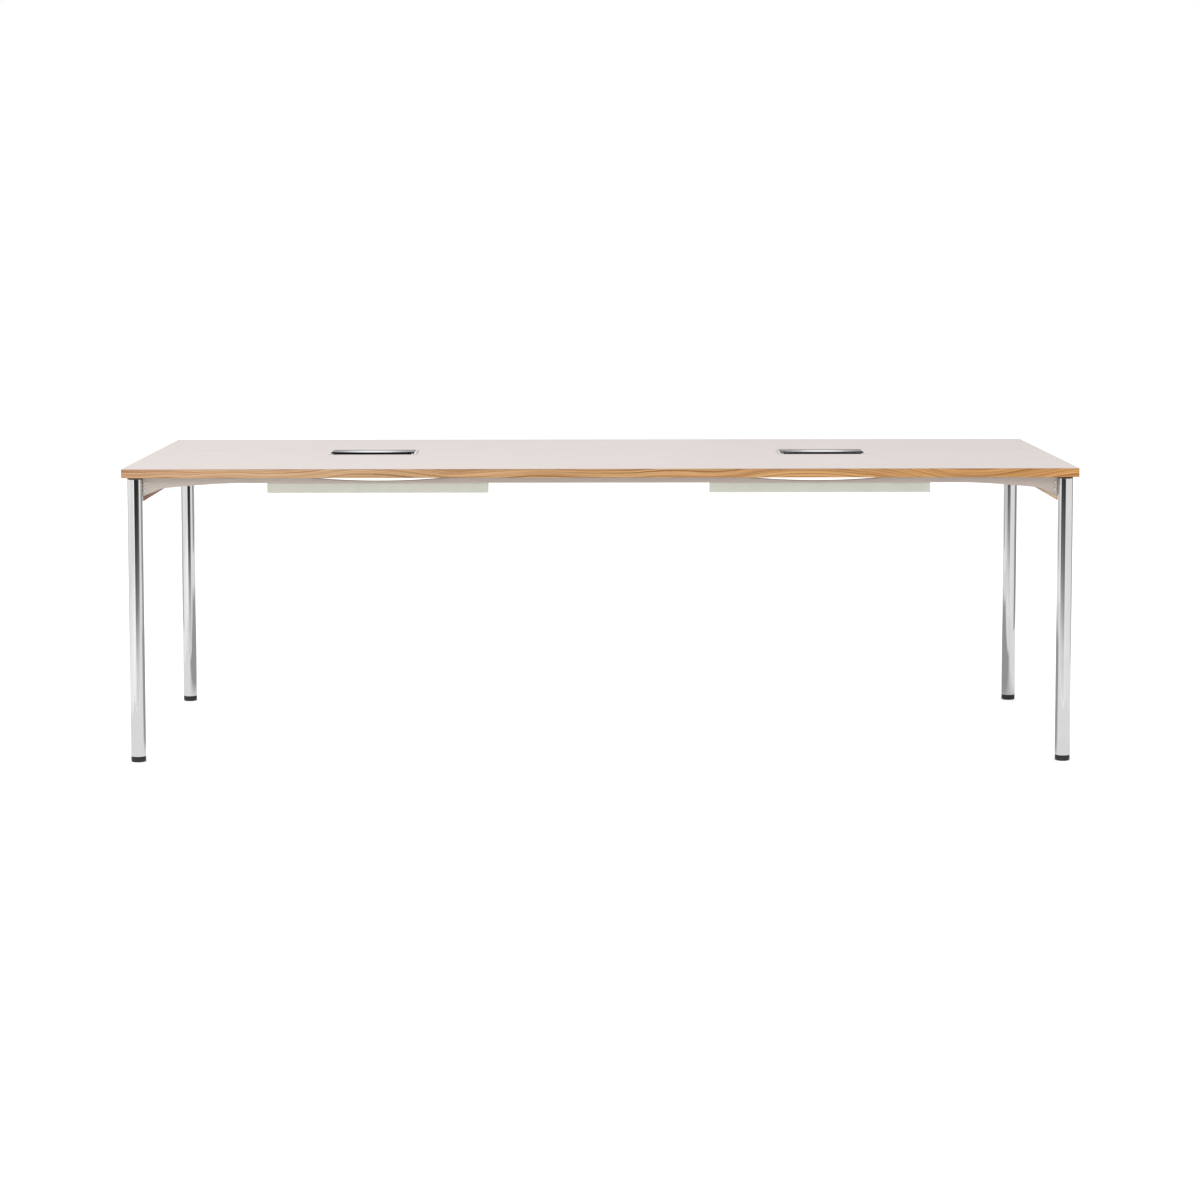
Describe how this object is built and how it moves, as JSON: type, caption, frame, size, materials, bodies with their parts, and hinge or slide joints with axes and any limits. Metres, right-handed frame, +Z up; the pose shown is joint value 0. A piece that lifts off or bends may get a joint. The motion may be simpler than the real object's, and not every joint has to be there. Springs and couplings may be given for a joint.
{
  "type": "office desk",
  "caption": "Long rectangular office desk with laminate top, oak edge, shaped aprons, round chromed legs on levelling glides, hinged cable flaps and hanging cable trays.",
  "frame": {"origin": "on the floor, under the middle of the top", "axes": "+X along the length to the right as seen from the front, +Y to the rear, +Z up"},
  "size_m": [2.4, 1, 0.7492],
  "materials": {
    "laminate": "satin off-white laminate",
    "backing_laminate": "plain balancing laminate",
    "core_board": "raw particle board",
    "oak": "lacquered oak",
    "apron_laminate": "satin laminated board",
    "rail_wood": "lacquered board",
    "chrome": "bright chrome",
    "steel": "zinc-plated",
    "lid_steel": "polished stainless",
    "black_plastic": "satin black",
    "black_rubber": "matt black",
    "black_brush": "nylon bristles",
    "tray_paint": "pale green-grey powder coat"
  },
  "bodies": {
    "table": {"top_core": "core_board", "top_laminate": "laminate", "underside_laminate": "backing_laminate", "edge_front": "oak", "edge_rear": "oak", "edge_left": "oak", "edge_right": "oak", "apron_front": "apron_laminate", "apron_rear": "apron_laminate", "rail_left": "rail_wood", "rail_right": "rail_wood", "corner_bracket_front_left": "steel", "corner_bracket_front_right": "steel", "corner_bracket_rear_left": "steel", "corner_bracket_rear_right": "steel", "leg_tube_front_left": "chrome", "leg_tube_front_right": "chrome", "leg_tube_rear_left": "chrome", "leg_tube_rear_right": "chrome", "leg_cap_front_left": "black_plastic", "leg_cap_front_right": "black_plastic", "leg_cap_rear_left": "black_plastic", "leg_cap_rear_right": "black_plastic", "leg_insert_front_left": "black_plastic", "leg_insert_front_right": "black_plastic", "leg_insert_rear_left": "black_plastic", "leg_insert_rear_right": "black_plastic", "leg_bolt_front_left": "steel", "leg_bolt_front_right": "steel", "leg_bolt_rear_left": "steel", "leg_bolt_rear_right": "steel", "apron_screw_front_left_upper": "steel", "apron_screw_front_left_lower": "steel", "apron_screw_front_right_upper": "steel", "apron_screw_front_right_lower": "steel", "apron_screw_rear_left_upper": "steel", "apron_screw_rear_left_lower": "steel", "apron_screw_rear_right_upper": "steel", "apron_screw_rear_right_lower": "steel", "flap_frame_left": "chrome", "flap_frame_right": "chrome", "flap_pin_left": "steel", "flap_pin_right": "steel", "flap_brush_left": "black_brush", "flap_brush_right": "black_brush", "tray_left": "tray_paint", "tray_right": "tray_paint", "tray_hanger_left_outer": "tray_paint", "tray_hanger_left_inner": "tray_paint", "tray_hanger_right_outer": "tray_paint", "tray_hanger_right_inner": "tray_paint"},
    "lid_left": {"flap_lid_left": "lid_steel", "flap_lip_left": "black_rubber"},
    "lid_right": {"flap_lid_right": "lid_steel", "flap_lip_right": "black_rubber"},
    "glide_front_left": {"glide_front_left": "black_plastic"},
    "glide_front_right": {"glide_front_right": "black_plastic"},
    "glide_rear_left": {"glide_rear_left": "black_plastic"},
    "glide_rear_right": {"glide_rear_right": "black_plastic"}
  },
  "joints": [
    {"name": "lid_left_hinge", "type": "hinge", "parent": "table", "child": "lid_left", "pos_m": [-0.6055, 0.066, 0.7481], "axis": [-1, 0, 0], "range_deg": [0, 100]},
    {"name": "lid_right_hinge", "type": "hinge", "parent": "table", "child": "lid_right", "pos_m": [0.5925, 0.066, 0.7481], "axis": [-1, 0, 0], "range_deg": [0, 100]},
    {"name": "glide_front_left_screw", "type": "slide", "parent": "table", "child": "glide_front_left", "axis": [0, 0, -1], "range_m": [0, 0.012]},
    {"name": "glide_front_right_screw", "type": "slide", "parent": "table", "child": "glide_front_right", "axis": [0, 0, -1], "range_m": [0, 0.012]},
    {"name": "glide_rear_left_screw", "type": "slide", "parent": "table", "child": "glide_rear_left", "axis": [0, 0, -1], "range_m": [0, 0.012]},
    {"name": "glide_rear_right_screw", "type": "slide", "parent": "table", "child": "glide_rear_right", "axis": [0, 0, -1], "range_m": [0, 0.012]}
  ]
}
